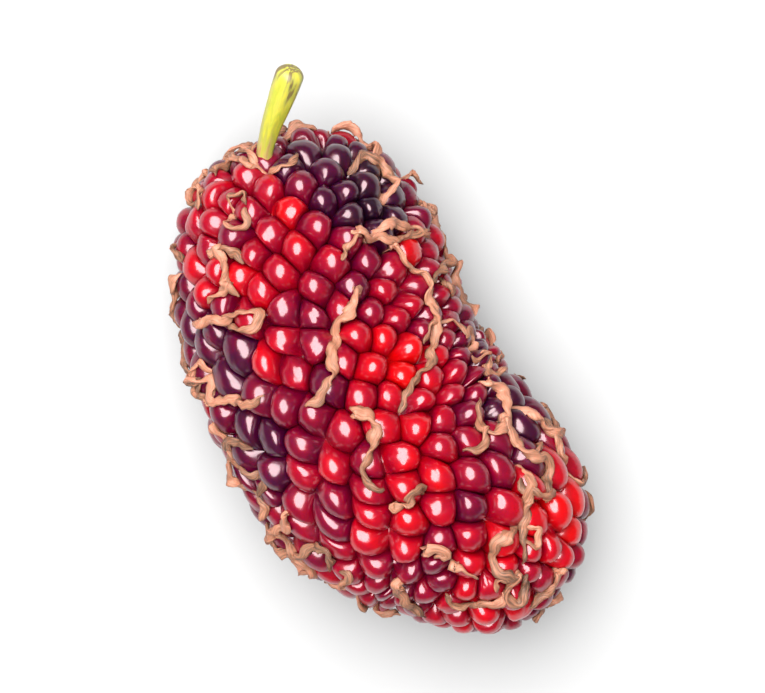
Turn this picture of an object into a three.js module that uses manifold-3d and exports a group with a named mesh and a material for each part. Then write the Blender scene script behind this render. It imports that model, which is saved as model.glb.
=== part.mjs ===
// One mulberry, as picked, lying on its side with its own short stalk.
//
// The fruit is a head of small drupelets packed on a spiral. Each drupelet has four juicy
// lobes that meet in a dimple, where a dried style may come out and curl over its neighbours.
// They grew together, so the fruit is one solid. The stalk is the second piece, and stands
// in a plain hole in the fruit's base.
//
// Millimetres, +Z up. X runs from the stalk's end of the fruit to its tip. The origin is on
// the surface that the fruit lies on, below the middle of the bounding box.

import * as THREE from 'three';
import { ConvexHull } from 'three/addons/math/ConvexHull.js';
import { mergeVertices } from 'three/addons/utils/BufferGeometryUtils.js';
import Module from 'manifold-3d';

// The place where the stalk leaves the fruit, from the origin. The sizes below that are places
// along the fruit, to its side or up are measured from there.
const STALK_FOOT = [-12.33, -0.19];

// The fruit's body, measured over the tops of the lobes
const FRUIT_LENGTH = 29.4;
const BEHIND_STALK = 1.0; // how far the lobes bulge back past the stalk's foot
const BASE_RADIUS = 7.5;
const TIP_RADIUS = 8.0;
const BASE_BLUNTNESS = 4.2;
const TIP_BLUNTNESS = 2.6;
const BEND = [1.5, 0.1, -0.75, -0.1, 2.4, 3.3]; // how far the axis lies to the side, base to tip
const UNEVENNESS = 0.03; // how far the upper side departs from round
const PRESSED_FLAT = 0.5; // how much of the lowest lobe is flattened by lying on it

// Its drupelets, each of four lobes
const DRUPELETS = 116;
const LOBES_EACH = 4;
const GOLDEN_ANGLE = Math.PI * (3 - Math.sqrt(5));
const BARE_SPOT = 3; // area in the middle of the base with no drupelet, in square millimetres
const LOBE_TO_SIDE = 1.0; // from the drupelet's middle to its two side lobes
const LOBE_ALONG = 0.9; // and to its upper and lower lobes
const WANDER = 0.22; // how far a drupelet strays from the spiral
const TWIST = 0.35; // how far it turns, in radians
const CREASE_WITHIN = 0.7; // depth of the dimple inside a drupelet
const CREASE_BETWEEN = 1.1; // and of the creases between drupelets
const SHORTEST_CREASE = 0.3; // corners nearer than this are one corner
const SHOULDER = 0.72; // where a lobe's rounded top ends, as a share of the way to its crease

// The stalk
const STALK_ROUTE = [[1.6, -0.3, 1.9], [0.2, 0.0, 3.0], [-0.9, 0.8, 4.2], [-2.1, 2.0, 5.7], [-3.3, 3.2, 7.0]];
const STALK_RADIUS = 0.45;
const STALK_END_RADIUS = 0.76; // it swells towards the end where it came off the twig
const STALK_ROUNDING = 0.05; // the share of its length over which that end is rounded
const STALK_SIDES = 12;
const STALK_STEPS = 20;
const HOLE_GAP = 0.3;

// The dried styles that stand out most. Those on top are routes as seen from above: along the
// fruit, and to its side. The others leave every so many drupelets and wander.
const STYLE_RADIUS = 0.27;
const STYLE_SIDES = 3;
const STYLE_LIFT = 0.4; // how high its middle line runs over the lobes
const STYLE_ROOT = 1.0; // how deep it is rooted
const STYLE_STEP = 1.2;
const STYLE_STEPS = 4;
const STYLE_EVERY = 4;
const STYLE_BEND = 1.2;
const TOP_STYLES = [
  [[7.5, 4.5], [9.6, 5.3], [11.9, 5.0], [13.6, 3.8], [14.6, 2.2], [15.6, 1.4]],
  [[5.3, 6.4], [6.7, 7.0], [8.5, 6.8], [9.6, 5.9]],
  [[5.7, 3.1], [6.6, 3.9], [7.2, 5.6]],
  [[8.6, 1.9], [9.7, 0.4], [10.8, -0.8], [12.2, -1.0], [13.2, -2.6]],
  [[4.2, -3.8], [5.4, -4.3], [6.8, -4.3]],
  [[6.9, -6.2], [7.1, -5.0], [7.7, -4.1]],
  [[9.1, -8.1], [10.3, -7.4], [11.3, -6.9], [11.7, -4.8]],
  [[13.2, -7.8], [14.4, -7.5], [15.6, -6.8]],
  [[18.1, -5.7], [19.2, -6.3], [19.9, -5.2]],
  [[14.2, -0.8], [15.1, 0.0], [16.3, -1.0], [17.3, -1.6], [18.6, -1.3]],
  [[15.9, 6.5], [17.1, 6.9], [18.0, 5.6], [18.7, 4.5]],
  [[18.8, 6.4], [20.2, 6.8], [21.7, 7.1]],
  [[25.0, 3.4], [26.0, 3.7], [26.4, 2.7]],
];

const UP = new THREE.Vector3(0, 0, 1);
const AXIS_STEP = FRUIT_LENGTH / (BEND.length - 1);
const AXIS_POINTS = BEND.map((side, i) => new THREE.Vector3(i * AXIS_STEP - BEHIND_STALK, side, 0));
const AXIS = new THREE.CatmullRomCurve3(AXIS_POINTS, false, 'catmullrom');

// A random number from 0 to 1, always the same one for the same place in the draw
function draw(place) {
  const value = Math.sin(place * 12.9898 + 78.233) * 43758.5453;
  return value - Math.floor(value);
}

// Rows from the fruit's base to its tip: the way along it, its radius and its radius before the
// ends are rounded, the latitude on a ball that keeps every angle the same, the area so far,
// and the direction that the skin faces
function profile(steps = 720) {
  const rows = [];
  let latitude = 0;
  let area = 0;
  for (let i = 0; i <= steps; i += 1) {
    const share = (1 - Math.cos((Math.PI * (i + 0.5)) / (steps + 1))) / 2;
    const bluntness = share < 0.5 ? BASE_BLUNTNESS : TIP_BLUNTNESS;
    const widest = THREE.MathUtils.lerp(BASE_RADIUS, TIP_RADIUS, THREE.MathUtils.smoothstep(share, 0.2, 0.7));
    const radius = widest * Math.sqrt(1 - Math.abs(2 * share - 1) ** bluntness);
    const along = share * FRUIT_LENGTH;
    const last = rows[i - 1];
    if (last) {
      const step = Math.hypot(along - last.along, radius - last.radius);
      latitude += (2 * step) / (radius + last.radius);
      area += Math.PI * step * (radius + last.radius);
    }
    rows.push({ along, radius, widest, latitude, area });
  }
  rows.forEach((row, i) => {
    const before = rows[Math.max(i - 1, 0)];
    const after = rows[Math.min(i + 1, steps)];
    const slope = Math.atan2(after.radius - before.radius, after.along - before.along);
    row.forward = -Math.sin(slope);
    row.outward = Math.cos(slope);
    row.latitude -= latitude / 2;
  });
  return rows;
}

const PROFILE = profile();

// The profile's row where one of its growing columns has this value
function rowWhere(column, value) {
  let low = 0;
  let high = PROFILE.length - 1;
  while (high - low > 1) {
    const middle = (low + high) >> 1;
    if (PROFILE[middle][column] > value) high = middle;
    else low = middle;
  }
  const [from, to] = [PROFILE[low], PROFILE[high]];
  const share = THREE.MathUtils.clamp((value - from[column]) / (to[column] - from[column]), 0, 1);
  const row = {};
  for (const key of Object.keys(from)) row[key] = THREE.MathUtils.lerp(from[key], to[key], share);
  return row;
}

// The row that belongs to a point of the ball, and how much of the ball's radius a
// millimetre of the fruit's skin is there
function rowAt(point) {
  const row = rowWhere('latitude', Math.atanh(THREE.MathUtils.clamp(point.x, -0.99999, 0.99999)));
  return { ...row, millimetre: 1 / (Math.cosh(row.latitude) * row.radius) };
}

// The two directions along the ball at a point: round the fruit, and towards its tip
function directionsAt(point) {
  const around = new THREE.Vector3(1, 0, 0).cross(point).normalize();
  return { around, tipward: new THREE.Vector3().crossVectors(point, around) };
}

// The middle of the fruit at a row: where it is thinner it lies lower, so its underside is level
function middleAt(row) {
  return AXIS.getPoint(row.along / FRUIT_LENGTH).addScaledVector(UP, row.widest - TIP_RADIUS);
}

// A point of the ball carried to the fruit, at a height above its skin
function onFruit(point, height) {
  const row = rowAt(point);
  const share = row.along / FRUIT_LENGTH;
  const round = Math.atan2(point.z, point.y);
  const forward = AXIS.getTangent(share);
  const outward = new THREE.Vector3(-forward.y, forward.x, 0).multiplyScalar(Math.cos(round));
  outward.addScaledVector(UP, Math.sin(round));
  const upperSide = ((1 + Math.sin(round)) / 2) * Math.sin(Math.PI * share);
  const uneven = 1 + UNEVENNESS * Math.sin(2 * round + 5 * share + 0.6) * upperSide;
  return middleAt(row)
    .addScaledVector(outward, row.radius * uneven + height * row.outward)
    .addScaledVector(forward, height * row.forward);
}

// The middle of a drupelet, on the ball: they follow a spiral that gives each the same area
function drupeletMiddle(i) {
  const wholeArea = PROFILE.at(-1).area;
  const row = rowWhere('area', BARE_SPOT + ((wholeArea - BARE_SPOT) * (i + 0.5)) / DRUPELETS);
  const wide = 1 / Math.cosh(row.latitude);
  const round = i * GOLDEN_ANGLE;
  return new THREE.Vector3(Math.tanh(row.latitude), wide * Math.cos(round), wide * Math.sin(round));
}

// The middles of all the lobes, on the ball, four to a drupelet
function lobeMiddles() {
  const middles = [];
  for (let i = 0; i < DRUPELETS; i += 1) {
    const drupelet = drupeletMiddle(i);
    const { millimetre } = rowAt(drupelet);
    const { around, tipward } = directionsAt(drupelet);
    drupelet.addScaledVector(around, millimetre * WANDER * (2 * draw(3 * i) - 1));
    drupelet.addScaledVector(tipward, millimetre * WANDER * (2 * draw(3 * i + 1) - 1));
    const twist = TWIST * (2 * draw(3 * i + 2) - 1);
    for (let lobe = 0; lobe < LOBES_EACH; lobe += 1) {
      const turn = twist + (2 * Math.PI * lobe) / LOBES_EACH;
      const reach = millimetre * (lobe % 2 ? LOBE_ALONG : LOBE_TO_SIDE);
      const middle = drupelet.clone().addScaledVector(around, reach * Math.cos(turn));
      middles.push(middle.addScaledVector(tipward, reach * Math.sin(turn)).normalize());
    }
  }
  return middles;
}

// The corners where lobes meet, and for each lobe the corners round it in order
function packLobes(middles) {
  const corners = [];
  const rings = middles.map(() => new Set());
  const numberOf = new Map(middles.map((middle, i) => [middle, i]));
  for (const face of new ConvexHull().setFromPoints(middles).faces) {
    const place = onFruit(face.normal, 0);
    let corner = corners.findIndex((other) => other.place.distanceTo(place) < SHORTEST_CREASE);
    if (corner < 0) corner = corners.push({ point: face.normal, place, drupelets: new Set() }) - 1;
    for (let i = 0; i < 3; i += 1) {
      const lobe = numberOf.get(face.getEdge(i).head().point);
      corners[corner].drupelets.add(Math.floor(lobe / LOBES_EACH));
      rings[lobe].add(corner);
    }
  }
  const inOrder = rings.map((ring, i) => {
    const { around, tipward } = directionsAt(middles[i]);
    const bearing = (corner) => Math.atan2(corners[corner].point.dot(tipward), corners[corner].point.dot(around));
    return [...ring].sort((a, b) => bearing(a) - bearing(b));
  });
  return { corners, rings: inOrder };
}

// Closed geometry from its points and triangles
function closedGeometry(points, triangles) {
  const geometry = new THREE.BufferGeometry().setFromPoints(points);
  geometry.setIndex(triangles.flat());
  return geometry;
}

// The skin of the fruit. A lobe is a top, a shoulder round it and the creases at its foot.
function lobedSkin(lobes) {
  const depths = lobes.corners.map(({ drupelets }) => (drupelets.size > 1 ? CREASE_BETWEEN : CREASE_WITHIN));
  const points = lobes.corners.map(({ point }, i) => onFruit(point, -depths[i]));
  const triangles = [];
  const slump = 1 - Math.sqrt(1 - SHOULDER * SHOULDER);
  for (const ring of lobes.rings) {
    const middle = new THREE.Vector3();
    for (const corner of ring) middle.add(lobes.corners[corner].point);
    middle.normalize();
    const top = points.push(onFruit(middle, 0)) - 1;
    const shoulder = ring.map((corner, i) => {
      const next = ring[(i + 1) % ring.length];
      const crease = lobes.corners[corner].point.clone().add(lobes.corners[next].point).normalize();
      const point = middle.clone().lerp(crease, SHOULDER).normalize();
      return points.push(onFruit(point, (-slump * (depths[corner] + depths[next])) / 2)) - 1;
    });
    ring.forEach((corner, i) => {
      const next = (i + 1) % ring.length;
      triangles.push([top, shoulder[i], shoulder[next]]);
      triangles.push([shoulder[i], corner, ring[next]]);
      triangles.push([shoulder[i], ring[next], shoulder[next]]);
    });
  }
  return { points, triangles };
}

// The place on the fruit's upper skin that is seen from above at a distance along it and to
// its side, and the middle of the fruit there
function seenFromAbove([along, side], height) {
  const place = new THREE.Vector3(along, side, 0);
  let share = (along + BEHIND_STALK) / FRUIT_LENGTH;
  for (let i = 0; i < 5; i += 1) {
    const past = place.clone().sub(AXIS.getPoint(share)).dot(AXIS.getTangent(share));
    share = THREE.MathUtils.clamp(share + past / FRUIT_LENGTH, 0, 1);
  }
  const row = rowWhere('along', share * FRUIT_LENGTH);
  const middle = middleAt(row);
  const off = Math.hypot(place.x - middle.x, place.y - middle.y);
  place.z = middle.z + Math.sqrt(Math.max((row.radius + height) ** 2 - off ** 2, 0));
  return { place, middle };
}

// A style on top of the fruit, rooted at the first point of its route
function tracedStyle(route) {
  const { place, middle } = seenFromAbove(route[0], 0);
  const root = middle.sub(place).setLength(STYLE_ROOT).add(place);
  return [root, ...route.map((point) => seenFromAbove(point, STYLE_LIFT).place)];
}

// A style that leaves a drupelet's dimple and wanders over the lobes
function wanderingStyle(drupelet) {
  const point = drupeletMiddle(drupelet);
  const route = [onFruit(point, -STYLE_ROOT)];
  const bend = STYLE_BEND * (2 * draw(500 + drupelet) - 1);
  let heading = 2 * Math.PI * draw(700 + drupelet);
  for (let step = 0; step < STYLE_STEPS; step += 1) {
    const reach = STYLE_STEP * rowAt(point).millimetre;
    const { around, tipward } = directionsAt(point);
    point.addScaledVector(around, reach * Math.cos(heading));
    point.addScaledVector(tipward, reach * Math.sin(heading)).normalize();
    route.push(onFruit(point, STYLE_LIFT));
    heading += bend;
  }
  return route;
}

// A round bar along a route, with a radius for each share of its length
function bar(route, radiusAt, sides, steps) {
  const curve = new THREE.CatmullRomCurve3(route);
  const frames = curve.computeFrenetFrames(steps);
  const points = [];
  const triangles = [];
  for (let i = 0; i <= steps; i += 1) {
    const radius = radiusAt(i / steps);
    for (let side = 0; side < sides; side += 1) {
      const angle = (2 * Math.PI * side) / sides;
      const rim = curve.getPoint(i / steps).addScaledVector(frames.normals[i], radius * Math.cos(angle));
      points.push(rim.addScaledVector(frames.binormals[i], radius * Math.sin(angle)));
      const here = i * sides + side;
      const beside = i * sides + ((side + 1) % sides);
      if (i < steps) triangles.push([here, beside, beside + sides], [here, beside + sides, here + sides]);
    }
  }
  const first = points.push(curve.getPoint(0)) - 1;
  const last = points.push(curve.getPoint(1)) - 1;
  for (let side = 0; side < sides; side += 1) {
    const beside = (side + 1) % sides;
    triangles.push([first, beside, side], [last, steps * sides + side, steps * sides + beside]);
  }
  return closedGeometry(points, triangles);
}

const wasm = await Module();
wasm.setup();

function toSolid(geometry) {
  const merged = mergeVertices(geometry);
  return new wasm.Manifold(new wasm.Mesh({
    numProp: 3,
    vertProperties: merged.attributes.position.array,
    triVerts: merged.index.array,
  }));
}

function toGeometry(solid) {
  const mesh = solid.getMesh();
  const geometry = new THREE.BufferGeometry();
  geometry.setAttribute('position', new THREE.BufferAttribute(mesh.vertProperties, 3));
  geometry.setIndex(new THREE.BufferAttribute(mesh.triVerts, 1));
  return geometry;
}

const skin = lobedSkin(packLobes(lobeMiddles()));
const lowest = Math.min(...skin.points.map((point) => point.z));

// A point of the fruit carried to where it lies, no lower than a clearance over the surface
function laid(point, clearance) {
  const [x, y] = STALK_FOOT;
  return new THREE.Vector3(point.x + x, point.y + y, Math.max(point.z - lowest - PRESSED_FLAT, clearance));
}

function laidBar(route, radiusAt, sides, steps) {
  return bar(route.map((point) => laid(point, 1.5 * radiusAt(0))), radiusAt, sides, steps);
}

// The stalk's radius at a share of its length
function stalkRadius(share) {
  const swell = THREE.MathUtils.smoothstep(share, 0.3, 0.95);
  const past = Math.max(share - 1 + STALK_ROUNDING, 0) / STALK_ROUNDING;
  return THREE.MathUtils.lerp(STALK_RADIUS, STALK_END_RADIUS, swell) * Math.sqrt(1 - 0.6 * past * past);
}

// The fruit: its lobed skin, the styles fused on and the hole for the stalk cut out. Small
// hollows that a style seals off are filled, and slivers left by the joins are smoothed away.
function drupelets() {
  const routes = TOP_STYLES.map(tracedStyle);
  for (let i = 0; i < DRUPELETS; i += STYLE_EVERY) routes.push(wanderingStyle(i));
  let solid = toSolid(closedGeometry(skin.points.map((point) => laid(point, 0)), skin.triangles));
  for (const route of routes) {
    solid = solid.add(toSolid(laidBar(route, () => STYLE_RADIUS, STYLE_SIDES, route.length)));
  }
  const [foot, ...rest] = STALK_ROUTE.map((point) => new THREE.Vector3(...point));
  const deeper = foot.clone().sub(rest[0]).setLength(HOLE_GAP).add(foot);
  const holeRadius = (share) => stalkRadius(share) + HOLE_GAP;
  solid = solid.subtract(toSolid(laidBar([deeper, ...rest], holeRadius, STALK_SIDES, STALK_STEPS)));
  solid = solid.decompose().reduce((most, part) => (part.volume() > most.volume() ? part : most));
  return toGeometry(solid.simplify(0.01));
}

function stalk() {
  const route = STALK_ROUTE.map((point) => new THREE.Vector3(...point));
  return laidBar(route, stalkRadius, STALK_SIDES, STALK_STEPS);
}

const FLESH = new THREE.MeshStandardMaterial({ color: '#a3061c', roughness: 0.25, metalness: 0, flatShading: true });
const GREEN = new THREE.MeshStandardMaterial({ color: '#c9c038', roughness: 0.5, metalness: 0, flatShading: true });

const mulberry = new THREE.Group();
for (const [name, geometry, material] of [['drupelets', drupelets(), FLESH], ['stalk', stalk(), GREEN]]) {
  const mesh = new THREE.Mesh(geometry, material);
  mesh.name = name;
  mulberry.add(mesh);
}

export default mulberry;
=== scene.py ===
import math

import bmesh
import bpy
import numpy as np
from mathutils import Matrix, Vector
from mathutils.bvhtree import BVHTree


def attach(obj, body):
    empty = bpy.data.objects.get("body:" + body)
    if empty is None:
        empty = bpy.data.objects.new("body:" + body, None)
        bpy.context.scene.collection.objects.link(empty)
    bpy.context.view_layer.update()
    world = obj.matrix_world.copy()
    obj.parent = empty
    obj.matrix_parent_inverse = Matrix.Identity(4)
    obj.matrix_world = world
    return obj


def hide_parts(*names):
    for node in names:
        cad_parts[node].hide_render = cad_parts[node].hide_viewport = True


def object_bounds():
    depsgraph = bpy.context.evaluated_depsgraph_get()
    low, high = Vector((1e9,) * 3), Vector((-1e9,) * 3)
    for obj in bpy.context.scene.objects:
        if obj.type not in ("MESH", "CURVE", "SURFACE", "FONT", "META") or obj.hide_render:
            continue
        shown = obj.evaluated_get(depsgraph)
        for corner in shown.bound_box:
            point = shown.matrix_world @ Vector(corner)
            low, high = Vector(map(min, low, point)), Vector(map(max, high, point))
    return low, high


# One mulberry, as picked, lying on its side with its own short stalk. Everything is in metres,
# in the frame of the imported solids: X runs from the stalk's end of the fruit to its tip, and
# the surface that it lies on is at Z = 0.

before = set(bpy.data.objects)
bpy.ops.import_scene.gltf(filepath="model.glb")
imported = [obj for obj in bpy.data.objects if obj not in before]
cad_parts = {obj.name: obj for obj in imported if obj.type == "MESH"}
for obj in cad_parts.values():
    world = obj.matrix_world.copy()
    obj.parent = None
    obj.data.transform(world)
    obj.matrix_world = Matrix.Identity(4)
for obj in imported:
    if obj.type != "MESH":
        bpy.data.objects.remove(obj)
cad_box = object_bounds()
MM = 0.001


# The camera. It looks straight down, as on a fruit lying in a heap, and is turned so that
# the fruit leans to the right from its stalk at the top to its tip.

FRUIT_LEAN = math.radians(23.4)
VIEW_HEIGHT = 37 * MM  # how much of the surface the picture takes in, from top to bottom
VIEW_MIDDLE = (-0.6 * MM, 1.6 * MM)
PICTURE_WIDTH, PICTURE_HEIGHT = 765, 693
LENS = 180.0
SENSOR = 36.0

camera_data = bpy.data.cameras.new("camera")
camera_data.lens = LENS
camera_data.sensor_width = SENSOR
camera_data.clip_start = 10 * MM
camera = bpy.data.objects.new("camera", camera_data)
bpy.context.scene.collection.objects.link(camera)
bpy.context.scene.camera = camera
lowest_corner, highest_corner = (Vector(corner) for corner in cad_box)
seen_height = SENSOR / LENS * PICTURE_HEIGHT / PICTURE_WIDTH  # for each metre of distance
middle_height = (lowest_corner.z + highest_corner.z) / 2
camera.location = (*VIEW_MIDDLE, middle_height + VIEW_HEIGHT / seen_height)
camera.rotation_euler = (0, 0, math.pi / 2 - FRUIT_LEAN)


# The flesh. A mulberry is a head of small drupelets on a spiral, and each one is four swollen
# lobes of juicy flesh round a dimple, each lobe squeezed into a rounded bead by its neighbours.
# They grew as one piece. Here each lobe is a dome between the creases round it.

STALK_FOOT = (-12.33 * MM, -0.19 * MM)
FRUIT_LENGTH = 29.4 * MM
BEHIND_STALK = 1.0 * MM  # from the fruit's base to the stalk's foot
BASE_RADIUS = 7.5 * MM
TIP_RADIUS = 8.0 * MM
WIDENS_FROM, WIDENS_OVER = 0.2, 0.5  # shares of its length
BASE_BLUNTNESS = 4.2  # 2 is an end as round as a ball's, and more is blunter
TIP_BLUNTNESS = 2.6
# How far its axis lies to the side, at even steps from its base to its tip
BEND = (1.5 * MM, 0.1 * MM, -0.75 * MM, -0.1 * MM, 2.4 * MM, 3.3 * MM)
UNEVENNESS = 0.03  # of its radius
UNEVEN_TWIST, UNEVEN_START = 5.0, 0.6  # radians round its axis
PRESSED_FLAT = 0.5 * MM  # how far the lobes beneath it give way
DRUPELETS = 116
LOBES_EACH = 4
GOLDEN_ANGLE = math.pi * (3 - math.sqrt(5))
BARE_SPOT = 3 * MM * MM  # the area in the middle of its base that has no drupelet
LOBE_TO_SIDE = 1.0 * MM
LOBE_ALONG = 0.9 * MM
WANDER = 0.22 * MM  # how far a drupelet strays from the spiral
TWIST = 0.35  # radians either way, by which a drupelet's four lobes turn
LOBE_WANDER = 0.3 * MM  # how far each lobe is pushed about by its neighbours
CREASE_WITHIN = 1.12 * MM  # the depth of the dimple inside a drupelet
CREASE_BETWEEN = 1.45 * MM  # and of the creases between drupelets
CREASE_SADDLE = 0.42  # how much shallower a crease is between its corners
SHORTEST_CREASE = 0.12 * MM
CREASE_STEP = 0.24 * MM
DOME_RINGS = 7
DOME_FULLNESS = 2.22  # a full dome is flatter on top and steeper at its foot
CORNERS_LEFT_OUT = 1.25  # 0 is a dome that fills its creases' corners, and more is rounder
RIM_EVENINGS = 3  # how often the distances to a lobe's rim are evened out
LOBE_SWELL = 0.2 * MM
PROFILE_STEPS = 720
NEAR_POLE = 0.99999  # how far along the ball its end is taken to be
# Where each kind of random draw starts
DRAW_RIPE_DRUPELET, DRAW_RIPE_LOBE, DRAW_SWELL, DRAW_LOBE_PLACE = 2000, 3000, 4000, 9000


def draw(place):
    """A random number from 0 to 1, always the same one for the same place in the draw."""
    value = math.sin(place * 12.9898 + 78.233) * 43758.5453
    return value - math.floor(value)


def profile():
    """The fruit's outline from base to tip, as columns that grow together."""
    share = (1 - np.cos(np.pi * (np.arange(PROFILE_STEPS + 1) + 0.5) / (PROFILE_STEPS + 1))) / 2
    rise = np.clip((share - WIDENS_FROM) / WIDENS_OVER, 0, 1)
    widest = BASE_RADIUS + (TIP_RADIUS - BASE_RADIUS) * rise * rise * (3 - 2 * rise)
    bluntness = np.where(share < 0.5, BASE_BLUNTNESS, TIP_BLUNTNESS)
    radius = widest * np.sqrt(1 - np.abs(2 * share - 1) ** bluntness)
    along = share * FRUIT_LENGTH
    step = np.hypot(np.diff(along), np.diff(radius))
    both = radius[1:] + radius[:-1]
    latitude = np.concatenate([[0], np.cumsum(2 * step / both)])
    area = np.concatenate([[0], np.cumsum(np.pi * step * both)])
    before = np.maximum(np.arange(PROFILE_STEPS + 1) - 1, 0)
    after = np.minimum(np.arange(PROFILE_STEPS + 1) + 1, PROFILE_STEPS)
    slope = np.arctan2(radius[after] - radius[before], along[after] - along[before])
    return {
        "along": along,
        "radius": radius,
        "widest": widest,
        "latitude": latitude - latitude[-1] / 2,
        "area": area,
        "forward": -np.sin(slope),
        "outward": np.cos(slope),
    }


PROFILE = profile()


def row_where(column, value):
    """The outline's columns where one of them has this value."""
    return {name: np.interp(value, PROFILE[column], values) for name, values in PROFILE.items()}


def row_at(points):
    """The outline at points of a ball that keeps every angle of the skin the same, and how much
    of the ball's radius a metre of skin is there."""
    row = row_where("latitude", np.arctanh(np.clip(points[..., 0], -NEAR_POLE, NEAR_POLE)))
    row["metre"] = 1 / (np.cosh(row["latitude"]) * row["radius"])
    return row


def axis_side(share):
    """How far the fruit's axis lies to the side."""
    place = np.clip(share, 0, 1) * (len(BEND) - 1)
    first = np.minimum(place.astype(int), len(BEND) - 2)
    bend = np.array([2 * BEND[0] - BEND[1], *BEND, 2 * BEND[-1] - BEND[-2]])
    a, b, c, d = (bend[first + i] for i in range(4))
    t = place - first
    squared, cubed = 2 * a - 5 * b + 4 * c - d, 3 * b - a - 3 * c + d
    return (2 * b + (c - a) * t + squared * t**2 + cubed * t**3) / 2


def axis_at(along):
    """A point of the fruit's axis and the direction that it runs in there."""
    share = np.asarray(along / FRUIT_LENGTH, float)
    near = 1e-3
    low, high = np.clip(share - near, 0, 1), np.clip(share + near, 0, 1)
    rise = (axis_side(high) - axis_side(low)) / ((high - low) * FRUIT_LENGTH)
    forward = np.stack([np.ones_like(rise), rise, np.zeros_like(rise)], -1)
    point = np.stack([along - BEHIND_STALK, axis_side(share), np.zeros_like(share)], -1)
    return point, forward / np.linalg.norm(forward, axis=-1, keepdims=True)


def on_fruit(points, height):
    """Points of the ball carried to the fruit, at a height above its skin."""
    row = row_at(points)
    middle, forward = axis_at(row["along"])
    middle[..., 2] += row["widest"] - TIP_RADIUS
    round_axis = np.arctan2(points[..., 2], points[..., 1])
    side = np.stack([-forward[..., 1], forward[..., 0], np.zeros_like(round_axis)], -1)
    outward = side * np.cos(round_axis)[..., None]
    outward = outward + np.array([0, 0, 1]) * np.sin(round_axis)[..., None]
    share = row["along"] / FRUIT_LENGTH
    upper_side = (1 + np.sin(round_axis)) / 2 * np.sin(np.pi * share)
    swelling = np.sin(2 * round_axis + UNEVEN_TWIST * share + UNEVEN_START)
    uneven = 1 + UNEVENNESS * swelling * upper_side
    out = row["radius"] * uneven + height * row["outward"]
    return middle + outward * out[..., None] + forward * (height * row["forward"])[..., None]


def directions_at(point):
    """The two directions along the ball at a point: round the fruit, and towards its tip."""
    around = np.cross([1, 0, 0], point)
    around /= np.linalg.norm(around)
    return around, np.cross(point, around)


def drupelet_middle(i):
    """The middle of a drupelet, on the ball: they follow a spiral that gives each the same area."""
    row = row_where("area", BARE_SPOT + (PROFILE["area"][-1] - BARE_SPOT) * (i + 0.5) / DRUPELETS)
    wide = 1 / math.cosh(row["latitude"])
    turned = i * GOLDEN_ANGLE
    return np.array([math.tanh(row["latitude"]), wide * math.cos(turned), wide * math.sin(turned)])


def lobe_middles():
    """The middles of all the lobes, on the ball, four to a drupelet."""
    middles = []
    for i in range(DRUPELETS):
        drupelet = drupelet_middle(i)
        metre = float(row_at(drupelet)["metre"])
        around, tipward = directions_at(drupelet)
        drupelet = drupelet + around * metre * WANDER * (2 * draw(3 * i) - 1)
        drupelet = drupelet + tipward * metre * WANDER * (2 * draw(3 * i + 1) - 1)
        twist = TWIST * (2 * draw(3 * i + 2) - 1)
        for lobe in range(LOBES_EACH):
            turn = twist + 2 * math.pi * lobe / LOBES_EACH
            reach = metre * (LOBE_ALONG if lobe % 2 else LOBE_TO_SIDE)
            middle = drupelet + around * reach * math.cos(turn) + tipward * reach * math.sin(turn)
            number = DRAW_LOBE_PLACE + 4 * (LOBES_EACH * i + lobe)
            middle = middle + around * metre * LOBE_WANDER * (2 * draw(number) - 1)
            middle = middle + tipward * metre * LOBE_WANDER * (2 * draw(number + 1) - 1)
            middles.append(middle / np.linalg.norm(middle))
    return np.array(middles)


def pack_lobes(middles):
    """The corners where lobes meet, on the ball, and for each lobe its corners in order."""
    ball = bmesh.new()
    for middle in middles:
        ball.verts.new(middle)
    ball.verts.index_update()
    bmesh.ops.convex_hull(ball, input=ball.verts)
    corners, places, rings = [], np.zeros((0, 3)), [set() for _ in middles]
    for face in ball.faces:
        lobes = [vert.index for vert in face.verts]
        a, b, c = middles[lobes[:3]]
        point = np.cross(b - a, c - a)
        point *= np.sign(point @ a) / np.linalg.norm(point)
        place = on_fruit(point, np.array(0.0))
        near = np.flatnonzero(np.linalg.norm(places - place, axis=1) < SHORTEST_CREASE)
        if len(near):
            corner = near[0]
        else:
            corner = len(corners)
            corners.append(point)
            places = np.vstack([places, place])
        for lobe in lobes:
            rings[lobe].add(corner)
    ball.free()
    corners = np.array(corners)
    in_order = []
    for middle, ring in zip(middles, rings):
        around, tipward = directions_at(middle)
        ring = np.array(sorted(ring))
        bearing = np.arctan2(corners[ring] @ tipward, corners[ring] @ around)
        in_order.append(ring[np.argsort(bearing)])
    return corners, in_order


def unit(vectors):
    return vectors / np.linalg.norm(vectors, axis=-1, keepdims=True)


lobe_middle = lobe_middles()
corner_point, lobe_rings = pack_lobes(lobe_middle)
lobe_top = unit(np.array([corner_point[ring].mean(0) for ring in lobe_rings]))
fruit_lowest = on_fruit(lobe_top, np.zeros(len(lobe_top)))[:, 2].min()


def laid(points, clearance=0.0):
    """Points of the fruit carried to where it lies, pressed flat at the surface."""
    shift = np.array([*STALK_FOOT, -fruit_lowest - PRESSED_FLAT])
    moved = points + shift
    moved[..., 2] = np.maximum(moved[..., 2], clearance)
    return moved


def drupelet_of(lobe):
    return lobe // LOBES_EACH


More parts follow.
